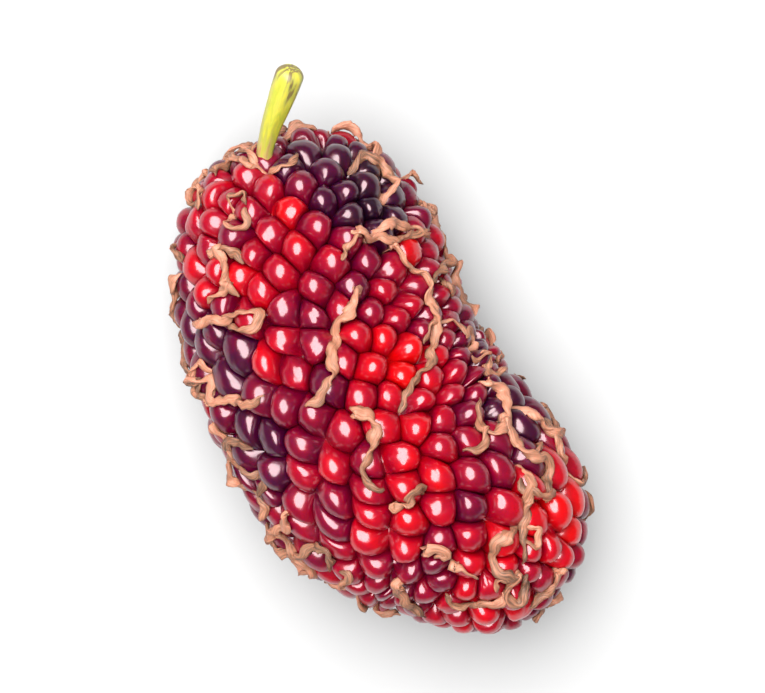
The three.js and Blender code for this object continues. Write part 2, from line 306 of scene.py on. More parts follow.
# How ripe the fruit is, from 0, bright red, to 1, purple black. Each patch is a place seen from
# above, along the fruit from its stalk and to its side, with its reach and its ripeness.
RIPE_PATCHES = (
    (0.7, -3.1, 1.5, 0.35),
    (2.9, 0.1, 0.9, 0.02),
    (1.3, -1.2, 1.0, 0.32),
    (2.0, 3.6, 1.8, 0.97),
    (4.3, 3.7, 1.5, 0.95),
    (4.5, 5.8, 1.5, 0.90),
    (7.5, 5.8, 0.9, 0.03),
    (6.3, 1.4, 1.4, 0.20),
    (4.5, -1.3, 1.3, 0.32),
    (4.5, -5.7, 0.9, 0.02),
    (5.7, -4.0, 1.0, 0.12),
    (7.6, -1.9, 1.5, 0.34),
    (9.1, 3.4, 1.5, 0.52),
    (8.5, -6.5, 1.5, 0.72),
    (9.9, -3.3, 1.5, 0.20),
    (11.8, -2.2, 1.1, 0.66),
    (11.7, 2.1, 1.4, 0.10),
    (13.5, 5.2, 1.2, 0.32),
    (15.0, 6.9, 1.3, 0.70),
    (14.0, -6.7, 1.7, 0.68),
    (16.2, -2.5, 1.5, 0.30),
    (17.1, 0.9, 1.6, 0.10),
    (19.7, 4.7, 1.3, 0.45),
    (18.9, 7.6, 1.3, 0.68),
    (18.6, -4.9, 1.5, 0.62),
    (20.8, -2.7, 1.5, 0.32),
    (21.3, 3.2, 1.1, 0.82),
    (23.6, 3.2, 1.7, 0.03),
    (23.2, 7.3, 1.7, 0.00),
    (24.0, -2.3, 1.8, 0.48),
    (27.3, 1.2, 1.3, 0.05),
    (26.3, 4.7, 1.3, 0.28),
)
PATCH_FADING = 0.8  # how soon a patch fades out round its middle
RIPE_ELSEWHERE = 0.5
ELSEWHERE_WEIGHT = 0.05  # where a patch has 1 in its middle
RIPE_DRUPELET_SPREAD = 0.24
RIPE_LOBE_SPREAD = 0.18
PLACING_ROUNDS = 5  # to find the part of the axis nearest to a place seen from above


def seen_from_above(along, side):
    """The place on the upper skin that is seen from above there."""
    flat = np.array([along, side, 0.0])
    place_along = along + BEHIND_STALK
    for _ in range(PLACING_ROUNDS):
        point, forward = axis_at(np.array(place_along))
        place_along = float(np.clip(place_along + (flat - point) @ forward, 0, FRUIT_LENGTH))
    row = row_where("along", place_along)
    point, _ = axis_at(np.array(place_along))
    level = row["widest"] - TIP_RADIUS
    off = math.hypot(flat[0] - point[0], flat[1] - point[1])
    flat[2] = level + math.sqrt(max(row["radius"] ** 2 - off**2, 0))
    return flat


def ripeness_of_lobes():
    """How ripe each lobe is: its patches, and the chance of each drupelet and lobe."""
    places = on_fruit(lobe_top, np.zeros(len(lobe_top)))
    total = np.full(len(places), ELSEWHERE_WEIGHT)
    ripe = total * RIPE_ELSEWHERE
    for along, side, reach, value in RIPE_PATCHES:
        centre = seen_from_above(along * MM, side * MM)
        away = np.linalg.norm(places - centre, axis=1) / (reach * MM)
        weight = np.exp(-(away**2) * PATCH_FADING)
        total += weight
        ripe += weight * value
    ripe /= total
    for lobe in range(len(places)):
        drupelet_chance = draw(DRAW_RIPE_DRUPELET + drupelet_of(lobe)) - 0.5
        lobe_chance = draw(DRAW_RIPE_LOBE + lobe) - 0.5
        ripe[lobe] += RIPE_DRUPELET_SPREAD * drupelet_chance
        ripe[lobe] += RIPE_LOBE_SPREAD * lobe_chance
    return np.clip(ripe, 0, 1)


def flesh_mesh():
    """The lobes as one closed skin, with how ripe each point is and how deep in a crease, where its
    colour is dimmed as painted shade.
    """
    owners = {}
    for lobe, ring in enumerate(lobe_rings):
        for here, there in zip(ring, np.roll(ring, -1)):
            owners.setdefault((min(here, there), max(here, there)), []).append(lobe)
    inside = np.ones(len(corner_point), bool)
    for (here, there), lobes in owners.items():
        if drupelet_of(lobes[0]) != drupelet_of(lobes[-1]):
            inside[[here, there]] = False
    corner_depth = np.where(inside, CREASE_WITHIN, CREASE_BETWEEN)

    points, heights = list(corner_point), list(-corner_depth)
    crease_points = {}
    for (here, there), lobes in owners.items():
        ends = corner_point[[here, there]]
        length = np.linalg.norm(ends[1] - ends[0]) / float(row_at(unit(ends.mean(0)))["metre"])
        count = max(int(round(length / CREASE_STEP)), 1)
        same = drupelet_of(lobes[0]) == drupelet_of(lobes[-1])
        saddle = CREASE_SADDLE * (CREASE_WITHIN if same else CREASE_BETWEEN)
        numbers = []
        for i in range(1, count):
            share = i / count
            depth = corner_depth[here] * (1 - share) + corner_depth[there] * share
            numbers.append(len(points))
            points.append(unit(ends[0] * (1 - share) + ends[1] * share))
            heights.append(saddle * math.sin(math.pi * share) - depth)
        crease_points[(here, there)] = numbers

    ripe = ripeness_of_lobes()
    faces, ripe_at, crease_at = [], [0.0] * len(points), [1.0] * len(points)
    shares = [0] * len(points)
    crease_edges = set()
    for lobe, ring in enumerate(lobe_rings):
        rim = []
        for here, there in zip(ring, np.roll(ring, -1)):
            numbers = crease_points[(min(here, there), max(here, there))]
            rim += [here] + (numbers if here < there else numbers[::-1])
        top = lobe_top[lobe]
        rim_points = np.array([points[i] for i in rim])
        rim_heights = np.array([heights[i] for i in rim])
        reach = np.linalg.norm(rim_points - top, axis=1)
        for _ in range(RIM_EVENINGS):
            reach = (np.roll(reach, 1) + 2 * reach + np.roll(reach, -1)) / 4
        swell = LOBE_SWELL * (2 * draw(DRAW_SWELL + lobe) - 1)
        for i in rim:
            ripe_at[i] += ripe[lobe]
            shares[i] += 1
        ring_numbers = []
        for step in range(1, DOME_RINGS):
            share = math.sin(math.pi / 2 * step / DOME_RINGS)
            corners = (reach / reach.mean()) ** (CORNERS_LEFT_OUT * (1 - share**4))
            roundish = np.minimum(share * corners, 1)
            slump = 1 - np.sqrt(1 - roundish**DOME_FULLNESS)
            depth = np.abs(rim_heights) ** share * np.abs(rim_heights).mean() ** (1 - share)
            ring_numbers.append(list(range(len(points), len(points) + len(rim))))
            points += list(unit(top * (1 - share) + rim_points * share))
            heights += list(swell * (1 - share**2) - slump * depth)
            ripe_at += [ripe[lobe]] * len(rim)
            # How near its rim each point is, which the flesh's colour turns into painted shade
            crease_at += list(roundish**2)
            shares += [1] * len(rim)
        top_number = len(points)
        points.append(top)
        heights.append(swell)
        ripe_at.append(ripe[lobe])
        crease_at.append(0.0)
        shares.append(1)
        ring_numbers.append(rim)
        for i in range(len(rim)):
            after = (i + 1) % len(rim)
            faces.append((top_number, ring_numbers[0][i], ring_numbers[0][after]))
            for inner, outer in zip(ring_numbers, ring_numbers[1:]):
                faces.append((inner[i], outer[i], outer[after], inner[after]))
            crease_edges.add((min(rim[i], rim[after]), max(rim[i], rim[after])))
    places = laid(on_fruit(np.array(points), np.array(heights)))
    return places, faces, np.array(ripe_at) / np.array(shares), np.array(crease_at), crease_edges


def made_piece(name, places, faces, material, crease_edges=()):
    """An object from points and faces, smooth but for its creases."""
    mesh = bpy.data.meshes.new(name)
    corners = [tuple(int(i) for i in face) for face in faces]
    mesh.from_pydata([tuple(place) for place in places], [], corners)
    mesh.shade_smooth()
    for edge in mesh.edges if crease_edges else ():
        if tuple(sorted(edge.vertices)) in crease_edges:
            edge.use_edge_sharp = True
    mesh.materials.append(material)
    piece = bpy.data.objects.new(name, mesh)
    bpy.context.scene.collection.objects.link(piece)
    return piece


def store(piece, name, values):
    """Values for each point of a piece, which its material reads by name."""
    kind, field = ("FLOAT_VECTOR", "vector") if values.ndim == 2 else ("FLOAT", "value")
    stored = piece.data.attributes.new(name, kind, "POINT")
    stored.data.foreach_set(field, values.astype(np.float32).ravel())


def linear(colour):
    """An sRGB hex colour as linear light."""
    parts = [int(colour[i : i + 2], 16) / 255 for i in (1, 3, 5)]
    return [p / 12.92 if p <= 0.04045 else ((p + 0.055) / 1.055) ** 2.4 for p in parts] + [1.0]


def new_material(name):
    material = bpy.data.materials.new(name)
    material.use_nodes = True
    material.node_tree.nodes.clear()
    return material


def add_node(material, kind, links=(), stops=(), **settings):
    """A node with its settings, where a name that begins with in_ is an input's, its links, and
    the stops of its colour ramp as pairs of a place and an sRGB hex colour."""
    node = material.node_tree.nodes.new(kind)
    for name, value in settings.items():
        if name.startswith("in_"):
            node.inputs[name[3:].replace("_", " ")].default_value = value
        else:
            setattr(node, name, value)
    for number, (place, colour) in enumerate(stops):
        elements = node.color_ramp.elements
        stop = elements[number] if number < len(elements) else elements.new(place)
        stop.position, stop.color = place, linear(colour)
    for source, name in links:
        material.node_tree.links.new(source, node.inputs[name])
    return node


# Juicy mulberry flesh: a thin glossy skin over clear juice. Light goes in and comes out again
# red, so unripe lobes glow, and ripe ones hold so much pigment that only the gloss shows. The
# coat is the wet film: a wet skin has an IOR of about 1.4, and 1.7 matches how bright the
# highlights are.
FLESH_STOPS = (
    (0.0, "#A80002"), (0.25, "#8A0014"), (0.5, "#60001C"), (0.75, "#32001E"), (1.0, "#140414"),
)
# Dimmed copies of the flesh's colours for the bottoms of its creases: painted shade
CREASE_SHADE_STOPS = (
    (0.0, "#800002"), (0.25, "#62000E"), (0.5, "#400014"), (0.75, "#200014"), (1.0, "#0C020C"),
)
RIPE_BLOTCHES = 0.9 / MM  # along each metre of skin, so one is a little smaller than a lobe
SKIN_GRAIN = 0.22 * MM  # the skin's cells are finer still, but no finer grain would show

flesh = new_material("mulberry_flesh")
ripeness = add_node(flesh, "ShaderNodeAttribute", attribute_name="ripeness")
crease = add_node(flesh, "ShaderNodeAttribute", attribute_name="crease")
flesh_place = add_node(flesh, "ShaderNodeTexCoord")
blotch = add_node(
    flesh, "ShaderNodeTexNoise", [(flesh_place.outputs["Object"], "Vector")],
    in_Scale=RIPE_BLOTCHES, in_Detail=3.0,
)
spread = add_node(
    flesh, "ShaderNodeMapRange", [(blotch.outputs["Fac"], "Value")],
    in_From_Min=0.3, in_From_Max=0.7, in_To_Min=-0.1, in_To_Max=0.1,
)
shifted = add_node(
    flesh, "ShaderNodeMath", [(ripeness.outputs["Fac"], 0), (spread.outputs["Result"], 1)],
    operation="ADD",
)
colour = add_node(flesh, "ShaderNodeValToRGB", [(shifted.outputs[0], "Fac")], FLESH_STOPS)
crease_shade_colour = add_node(flesh, "ShaderNodeValToRGB", [(shifted.outputs[0], "Fac")], CREASE_SHADE_STOPS)
# How much of the painted crease shade each point gets, growing towards the crease
deep = add_node(
    flesh, "ShaderNodeMapRange", [(crease.outputs["Fac"], "Value")],
    in_From_Min=0.4, in_From_Max=1.0, in_To_Min=0.0, in_To_Max=0.65,
)
flesh_with_crease_shade = add_node(
    flesh, "ShaderNodeMix",
    [
        (deep.outputs["Result"], 0), (colour.outputs["Color"], 6),
        (crease_shade_colour.outputs["Color"], 7),
    ],
    data_type="RGBA",
)
grain = add_node(
    flesh, "ShaderNodeTexNoise", [(flesh_place.outputs["Object"], "Vector")],
    in_Scale=1 / SKIN_GRAIN, in_Detail=2.0,
)
bump = add_node(
    flesh, "ShaderNodeBump", [(grain.outputs["Fac"], "Height")],
    in_Strength=0.07, in_Distance=0.03 * MM,
)
rough = add_node(
    flesh, "ShaderNodeMapRange", [(blotch.outputs["Fac"], "Value")],
    in_From_Min=0.3, in_From_Max=0.7, in_To_Min=0.27, in_To_Max=0.38,
)
skin = add_node(
    flesh, "ShaderNodeBsdfPrincipled",
    [
        (flesh_with_crease_shade.outputs[2], "Base Color"), (rough.outputs["Result"], "Roughness"),
        (bump.outputs["Normal"], "Normal"),
    ],
    in_IOR=1.45, in_Specular_Tint=linear("#FF8C9C"),
    in_Subsurface_Weight=0.5, in_Subsurface_Scale=0.4 * MM, in_Subsurface_Radius=(1.0, 0.16, 0.1),
    in_Coat_Weight=0.6, in_Coat_Roughness=0.16, in_Coat_IOR=1.7,
)
add_node(flesh, "ShaderNodeOutputMaterial", [(skin.outputs[0], "Surface")])

flesh_places, flesh_faces, ripe_values, crease_values, crease_lines = flesh_mesh()
flesh_piece = made_piece("lobes", flesh_places, flesh_faces, flesh, crease_lines)
store(flesh_piece, "ripeness", ripe_values)
store(flesh_piece, "crease", crease_values)
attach(flesh_piece, "root")
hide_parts("drupelets")


# The stalk. A short bare green stem, pinkish where it enters the fruit, that thickens to the
# rounded scar where it came off the twig. It is fibrous, with fine ridges along it.

# Points that it runs through, in millimetres from its foot, and up from the fruit's axis
STALK_ROUTE = (
    (1.6, -0.3, 1.9), (0.2, 0.0, 3.0), (-0.9, 0.8, 4.2), (-2.1, 2.0, 5.7), (-3.3, 3.2, 7.0),
)
STALK_RADIUS = 0.45 * MM
STALK_END_RADIUS = 0.76 * MM
STALK_LENGTH = 8 * MM
SWELLS_FROM, SWELLS_OVER = 0.3, 0.65  # shares of its length
STALK_ROUNDING = 0.06  # the share of its length over which that end is rounded
ROUNDED_OFF = 0.75  # 1 would bring it to a point
STALK_SIDES = 48
STALK_STEPS = 90
STALK_RIDGES = 7
STALK_TWIST = 2.2  # how far the ridges' wave shifts along it, in radians
RIDGE_HEIGHT = 0.025  # of its radius
STALK_PUSH = 1.3 * MM  # how far from it the lobes are pushed aside
FOOT_REACH = 4 * MM  # how far from its foot that goes
STALK_GAP = 0.03 * MM
ASLANT = (0.3, 0.2, 1.0)  # any direction that it doesn't run in


def through(points, steps):
    """A smooth route through points, in a number of steps spread evenly between them."""
    points = np.asarray(points, float)
    beyond = np.vstack([2 * points[0] - points[1], points, 2 * points[-1] - points[-2]])
    route = []
    for t in np.linspace(0, len(points) - 1, steps + 1):
        first = min(int(t), len(points) - 2)
        a, b, c, d = beyond[first : first + 4]
        before, here, after = (np.linalg.norm(q - p) ** 0.5 for p, q in ((a, b), (b, c), (c, d)))
        leave = ((b - a) / before - (c - a) / (before + here) + (c - b) / here) * here
        arrive = ((c - b) / here - (d - b) / (here + after) + (d - c) / after) * here
        t -= first
        bend = (3 * (c - b) - 2 * leave - arrive) * t**2 + (2 * (b - c) + leave + arrive) * t**3
        route.append(b + leave * t + bend)
    return np.array(route)


def frames_along(route):
    """Two directions across a route at each of its points, carried along it without a twist."""
    forward = unit(np.gradient(route, axis=0))
    across = np.cross(forward[0], ASLANT)
    firsts = []
    for direction in forward:
        across = across - direction * (across @ direction)
        across /= np.linalg.norm(across)
        firsts.append(across)
    firsts = np.array(firsts)
    return firsts, np.cross(forward, firsts)


def tube(route, first, second, radii):
    """The points and faces of a closed tube, with a radius for each point of its route and side.
    Its section at each point lies in two directions, and is an oval if the second is shorter."""
    steps, sides = radii.shape
    angle = 2 * np.pi * np.arange(sides) / sides
    rim = first[:, None] * np.cos(angle)[None, :, None]
    rim = rim + second[:, None] * np.sin(angle)[None, :, None]
    points = list((route[:, None] + rim * radii[:, :, None]).reshape(-1, 3)) + [route[0], route[-1]]
    start, end = len(points) - 2, len(points) - 1
    faces = []
    for step in range(steps - 1):
        for side in range(sides):
            here, beside = step * sides + side, step * sides + (side + 1) % sides
            faces.append((here, beside, beside + sides, here + sides))
    for side in range(sides):
        beside = (side + 1) % sides
        faces.append((start, beside, side))
        faces.append((end, (steps - 1) * sides + side, (steps - 1) * sides + beside))
    return points, faces


stalk_route = laid(through(np.array(STALK_ROUTE) * MM, STALK_STEPS))
stalk_share = np.linspace(0, 1, STALK_STEPS + 1)
swell = np.clip((stalk_share - SWELLS_FROM) / SWELLS_OVER, 0, 1)
stalk_radii = STALK_RADIUS + (STALK_END_RADIUS - STALK_RADIUS) * swell * swell * (3 - 2 * swell)
rounding = np.clip((stalk_share - 1 + STALK_ROUNDING) / STALK_ROUNDING, 0, 1)
stalk_radii *= np.sqrt(1 - ROUNDED_OFF * rounding**2)
around_stalk = 2 * np.pi * np.arange(STALK_SIDES) / STALK_SIDES
ridges = np.cos(STALK_RIDGES * around_stalk[None, :] + STALK_TWIST * stalk_share[:, None])
ridges += 0.5 * np.cos(3 * around_stalk[None, :] - 1.4 * stalk_share[:, None] + 1)
stalk_radii = stalk_radii[:, None] * (1 - RIDGE_HEIGHT * (1 - ridges) * (1 - rounding[:, None]))
stalk_points, stalk_faces = tube(stalk_route, *frames_along(stalk_route), stalk_radii)

# The lobes bulge round its foot and touch it
lobe_mesh = flesh_piece.data
places = np.array([vertex.co for vertex in lobe_mesh.vertices])
near_foot = np.linalg.norm(places - stalk_route[STALK_STEPS // 4], axis=1) < FOOT_REACH
for number in np.flatnonzero(near_foot):
    away = places[number] - stalk_route
    nearest = np.argmin((away**2).sum(1))
    distance = np.linalg.norm(away[nearest])
    if distance < STALK_PUSH:
        clear = stalk_radii[nearest].max() + STALK_GAP
        pushed = clear + distance * (STALK_PUSH - clear) / STALK_PUSH
        lobe_mesh.vertices[number].co = stalk_route[nearest] + away[nearest] / distance * pushed

# Fresh green stem: a waxy skin, yellow green, that pales and reddens towards the fruit. Its brown
# foot is dimmed as well, partly as painted shade where the lobes close round it. The pattern runs
# along the stem, because its fibres do.
STEM_STOPS = (
    (0.0, "#8E6048"), (0.24, "#9A7650"), (0.36, "#A0924C"), (0.5, "#949434"), (0.62, "#AAA430"),
    (0.72, "#969A30"), (0.82, "#AEA638"), (0.94, "#98963E"), (1.0, "#6A5C34"),
)
STEM_FIBRE = 0.18 * MM
STEM_FIBRE_STRETCH = 9  # how many times longer than wide its fibres are

stem = new_material("fresh_stem")
along_stem = add_node(stem, "ShaderNodeAttribute", attribute_name="along")
stem_place = add_node(stem, "ShaderNodeAttribute", attribute_name="fibre")
fibres = add_node(
    stem, "ShaderNodeTexNoise", [(stem_place.outputs["Vector"], "Vector")],
    in_Scale=1 / STEM_FIBRE, in_Detail=3.0,
)
uneven = add_node(
    stem, "ShaderNodeMapRange", [(fibres.outputs["Fac"], "Value")],
    in_From_Min=0.3, in_From_Max=0.7, in_To_Min=-0.16, in_To_Max=0.16,
)
mottled = add_node(
    stem, "ShaderNodeMath", [(along_stem.outputs["Fac"], 0), (uneven.outputs["Result"], 1)],
    operation="ADD",
)
stem_colour = add_node(stem, "ShaderNodeValToRGB", [(mottled.outputs[0], "Fac")], STEM_STOPS)
stem_bump = add_node(
    stem, "ShaderNodeBump", [(fibres.outputs["Fac"], "Height")],
    in_Strength=0.35, in_Distance=0.05 * MM,
)
stem_skin = add_node(
    stem, "ShaderNodeBsdfPrincipled",
    [(stem_colour.outputs["Color"], "Base Color"), (stem_bump.outputs["Normal"], "Normal")],
    in_Roughness=0.42, in_IOR=1.45, in_Subsurface_Weight=0.2, in_Subsurface_Scale=0.4 * MM,
)
add_node(stem, "ShaderNodeOutputMaterial", [(stem_skin.outputs[0], "Surface")])

stalk_piece = made_piece("stalk_stem", stalk_points, stalk_faces, stem)
along_values = np.append(np.repeat(stalk_share, STALK_SIDES), [0, 1])
fibre_values = np.zeros((len(along_values), 3))
fibre_values[:-2, 0] = np.tile(np.cos(around_stalk), len(stalk_share)) * STALK_RADIUS
fibre_values[:-2, 1] = np.tile(np.sin(around_stalk), len(stalk_share)) * STALK_RADIUS
fibre_values[:, 2] = along_values * STALK_LENGTH / STEM_FIBRE_STRETCH
store(stalk_piece, "along", along_values)
store(stalk_piece, "fibre", fibre_values)
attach(stalk_piece, "root")
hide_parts("stalk")


# The styles. Each drupelet once had a two-branched style, which dried to a brown papery thread
# that curls over the lobes. Some have dropped off. They grew out of the dimples.

STYLE_RADIUS = 0.34 * MM
STYLE_FLATNESS = 0.45
STYLE_ROOT = 0.9 * MM  # how deep in its dimple it starts
STYLE_SIDES = 10
STYLE_FINENESS = 0.11 * MM  # from one ring of a thread's points to the next
FREE_FROM, FREE_OVER = 0.3, 1.2  # how soon and over how many root depths it leaves its dimple
SPAN = 4  # how many rings to each side it is held up by
STYLE_SAG = 0.45  # 0 where it spans from lobe to lobe, 1 where it follows every dip
STYLE_LIFT = 0.55  # how high its middle runs over the lobes, in radii
SEARCH_HEIGHT = 3 * MM
STYLE_CRINKLE = 0.09 * MM
CRINKLE_LENGTH = 1.9 * MM
STYLE_TWIST = 2.2  # how far its flat side turns over
WIDTH_CHANCE, WIDTH_WAVE, SIDE_CHANCE = 0.5, 0.12, 0.36  # of its radius
STYLE_TAPER = 0.3
STYLE_TIP = 1.5  # how long its rounded tip is, in radii
STYLE_FIBRE_STRETCH = 7  # how many times longer than wide its fibres are
LOWEST_STYLE = 0.02 * MM

# Those on top, as seen from above: places along the fruit and to its side, in millimetres
TOP_STYLES = (
    (
        (7.2, 4.6), (8.4, 4.8), (9.3, 5.3), (10.4, 5.3), (11.4, 5.1),
        (12.6, 4.6), (13.5, 3.9), (14.0, 2.9), (14.4, 2.1), (15.3, 1.5),
    ),
    ((5.7, 3.0), (6.3, 3.7), (6.8, 4.5), (7.0, 5.5), (6.9, 6.3)),
    ((5.9, 7.3), (6.7, 7.4), (7.7, 7.2), (8.7, 7.0), (9.3, 6.2), (9.7, 5.5)),
    ((9.3, 7.6), (10.4, 7.6), (11.3, 7.5), (12.6, 7.4)),
    (
        (8.6, 1.8), (9.3, 1.0), (9.8, 0.1), (10.4, -0.1), (10.7, -0.6),
        (11.6, -0.9), (12.3, -1.4), (12.8, -2.2), (13.0, -3.0),
    ),
    ((0.0, 4.8), (0.2, 5.7), (0.1, 6.3), (0.6, 6.8), (1.2, 6.4), (1.0, 5.8), (0.3, 5.8)),
    ((3.9, 6.8), (3.9, 7.6), (4.3, 8.4)),
    ((0.3, -0.9), (-0.5, -1.2), (-0.8, -2.1), (-0.2, -2.8)),
    ((3.7, -4.7), (3.6, -3.9), (4.1, -3.4), (4.9, -3.3)),
    ((3.6, -4.1), (4.6, -4.2), (5.6, -4.3), (6.4, -4.3)),
    ((5.5, -4.3), (5.8, -4.9), (6.0, -5.6)),
    (
        (6.8, -6.9), (6.9, -6.0), (7.2, -4.9), (7.1, -4.1),
        (7.6, -3.6), (8.1, -4.1), (7.9, -4.8), (7.5, -5.4),
    ),
    ((4.0, -6.8), (5.7, -7.9), (6.6, -8.3), (8.1, -8.3), (9.2, -8.2), (9.5, -7.5)),
    (
        (9.2, -8.0), (9.7, -7.4), (10.5, -7.5), (11.1, -6.9),
        (11.5, -6.0), (11.8, -5.3), (11.6, -4.8),
    ),
    ((10.0, -8.0), (10.6, -8.2), (11.3, -8.2)),
    ((12.0, -7.8), (13.2, -7.8), (14.3, -7.8), (15.1, -7.3), (15.6, -6.8), (16.3, -7.2)),
    (
        (17.8, -6.1), (18.4, -6.7), (18.4, -7.4), (19.0, -7.8), (19.6, -7.3),
        (20.1, -6.5), (20.0, -5.7), (20.4, -5.2), (21.5, -5.3),
    ),
    ((22.4, -4.9), (21.9, -4.5), (21.6, -4.9)),
    (
        (14.3, -0.9), (14.8, -0.2), (15.4, -0.1), (16.0, -0.6),
        (16.7, -1.2), (17.6, -1.7), (18.2, -1.6), (18.4, -1.0),
    ),
    ((19.6, -0.9), (19.8, -0.2), (19.2, 0.3), (19.2, 0.9), (19.6, 0.7)),
    (
        (15.6, 6.1), (16.3, 6.7), (17.3, 6.5), (18.0, 6.2),
        (18.1, 5.4), (17.5, 4.9), (16.7, 5.0), (16.2, 5.4),
    ),
    ((17.7, 5.1), (18.5, 4.6), (18.4, 3.6)),
    ((17.8, 6.3), (19.1, 6.3), (20.0, 6.7), (20.5, 7.3), (21.3, 7.4), (22.1, 6.9), (22.7, 6.6)),
    ((22.3, 6.7), (22.0, 6.1), (21.6, 5.7), (20.9, 5.9)),
    ((22.2, -0.3), (22.5, 0.3), (23.0, 0.5), (22.8, -0.1)),
    ((23.6, 0.6), (24.1, 1.1), (24.6, 1.6)),
    ((25.4, 3.5), (26.0, 2.8), (26.7, 2.8), (26.4, 3.6), (25.7, 4.0)),
    ((23.4, -2.3), (24.2, -2.5), (25.0, -2.2), (25.8, -1.9)),
    ((26.3, 5.8), (27.0, 5.3), (27.5, 4.5), (27.7, 3.5)),
)


def along_skin(start, heading, bend, steps, reach):
    """A route that wanders over the ball from a point, turning by the same bend at each step."""
    point, route = start, []
    for _ in range(steps):
        metre = float(row_at(point)["metre"])
        around, tipward = directions_at(point)
        ahead = around * math.cos(heading) + tipward * math.sin(heading)
        point = unit(point + metre * reach * ahead)
        route.append(point)
        heading += bend
    return np.array(route)


def traced_style(route):
    """A style on top of the fruit, rooted at the first point of its route."""
    over = [seen_from_above(along * MM, side * MM) for along, side in route]
    middle = axis_at(np.array(np.clip(over[0][0] + BEHIND_STALK, 0, FRUIT_LENGTH)))[0]
    return np.array([over[0] + unit(middle - over[0]) * STYLE_ROOT, *over])


def wandering_style(drupelet, heading, bend, steps, reach):
    """A style that leaves a drupelet's dimple and wanders over the lobes."""
    start = drupelet_middle(drupelet)
    over = on_fruit(along_skin(start, heading, bend, steps, reach), np.zeros(steps))
    return np.vstack([on_fruit(start[None], np.array([-STYLE_ROOT])), over])


lobe_tree = BVHTree.FromPolygons(
    [vertex.co for vertex in lobe_mesh.vertices], [face.vertices for face in lobe_mesh.polygons],
)


def evened(values, reach):
    """Values along a thread, each the mean of those near it."""
    kernel = np.hanning(2 * reach + 3)[1:-1]
    padded = np.pad(values, [(reach, reach)] + [(0, 0)] * (values.ndim - 1), mode="edge")
    total = sum(weight * padded[i : i + len(values)] for i, weight in enumerate(kernel))
    return total / kernel.sum()


def outward_from_fruit(places):
    """The directions straight out of the fruit at places on it."""
    along = places[:, 0] - STALK_FOOT[0] + BEHIND_STALK
    along = np.clip(along, BASE_RADIUS, FRUIT_LENGTH - TIP_RADIUS)
    return unit(places - laid(axis_at(along)[0]))


def on_lobes(line, thickness):
    """A thread's middle line, brought down on the lobes beneath it."""
    outward = outward_from_fruit(line)
    above = []
    for place, direction in zip(line, outward):
        over = Vector(place + SEARCH_HEIGHT * direction)
        _, _, _, fall = lobe_tree.ray_cast(over, Vector(-direction), 2 * SEARCH_HEIGHT)
        above.append(0.0 if fall is None else SEARCH_HEIGHT - fall)
    above = np.array(above)
    near = np.pad(above, SPAN, mode="edge")
    spanned = np.max([near[i : i + len(above)] for i in range(2 * SPAN + 1)], axis=0)
    height = evened(spanned * (1 - STYLE_SAG) + above * STYLE_SAG, SPAN) + thickness
    return line + outward * height[:, None]


def dried_thread(route, seed, radius):
    """The tube of a dried style: crinkled, flattened, turning over, and uneven in width."""
    chance = np.random.default_rng(seed)
    line = through(route, 8 * (len(route) - 1))
    length = np.concatenate([[0], np.cumsum(np.linalg.norm(np.diff(line, axis=0), axis=1))])
    steps = int(length[-1] / STYLE_FINENESS) + 1
    run = np.linspace(0, length[-1], steps)
    line = np.stack([np.interp(run, length, line[:, axis]) for axis in range(3)], -1)
    share = run / run[-1]
    free = np.clip(run / (FREE_OVER * STYLE_ROOT) - FREE_FROM, 0, 1)

    phase = chance.uniform(0, 2 * math.pi, 6)
    turns = 2 * math.pi * run / CRINKLE_LENGTH
    # It sways in waves whose lengths never fall in step
    sway = np.sin(turns + phase[0] + 1.5 * np.sin(turns / 3.7 + phase[1]))
    sway = sway + 0.5 * np.sin(2.3 * turns + phase[2])
    line = laid(line, radius)
    sideways = unit(np.cross(outward_from_fruit(line), np.gradient(line, axis=0)))
    line = line + sideways * (STYLE_CRINKLE * free * sway)[:, None]
    line = line * (1 - free[:, None]) + on_lobes(line, STYLE_LIFT * radius) * free[:, None]
    line[:, 2] = np.maximum(line[:, 2], radius)

    outward = outward_from_fruit(line)
    sideways = unit(np.cross(outward, np.gradient(line, axis=0)))
    turn = 0.9 * np.sin(turns / 2.6 + phase[3]) + 0.7 * np.sin(turns / 1.3 + phase[4])
    turn = turn + STYLE_TWIST * share * (phase[5] - math.pi)
    first = sideways * np.cos(turn)[:, None] + outward * np.sin(turn)[:, None]
    second = STYLE_FLATNESS * (outward * np.cos(turn)[:, None] - sideways * np.sin(turn)[:, None])
    width = 1 + WIDTH_CHANCE * evened(chance.uniform(-1, 1, steps), 4)
    width = width + WIDTH_WAVE * np.sin(turns * 0.8 + phase[1])
    tip = np.sqrt(np.clip((run[-1] - run) / (STYLE_TIP * radius), 0.1, 1))
    width *= (1 - STYLE_TAPER * share) * tip
    rough = evened(chance.uniform(-1, 1, (steps, STYLE_SIDES)), 1)
    radii = radius * width[:, None] * (1 + SIDE_CHANCE * rough)
    points, faces = tube(line, first, second, radii)
    angle = 2 * np.pi * np.arange(STYLE_SIDES) / STYLE_SIDES
    fibre = np.zeros((steps, STYLE_SIDES, 3))
    fibre[..., 0], fibre[..., 1] = radius * np.cos(angle), radius * np.sin(angle)
    fibre[..., 2] = (run / STYLE_FIBRE_STRETCH + seed * MM)[:, None]
    fibre = np.vstack([fibre.reshape(-1, 3), fibre[0, 0], fibre[-1, 0]])
    points = np.array(points)
    points[:, 2] = np.maximum(points[:, 2], LOWEST_STYLE)
    return points, faces, np.append(np.repeat(share, STYLE_SIDES), [0, 1]), fibre


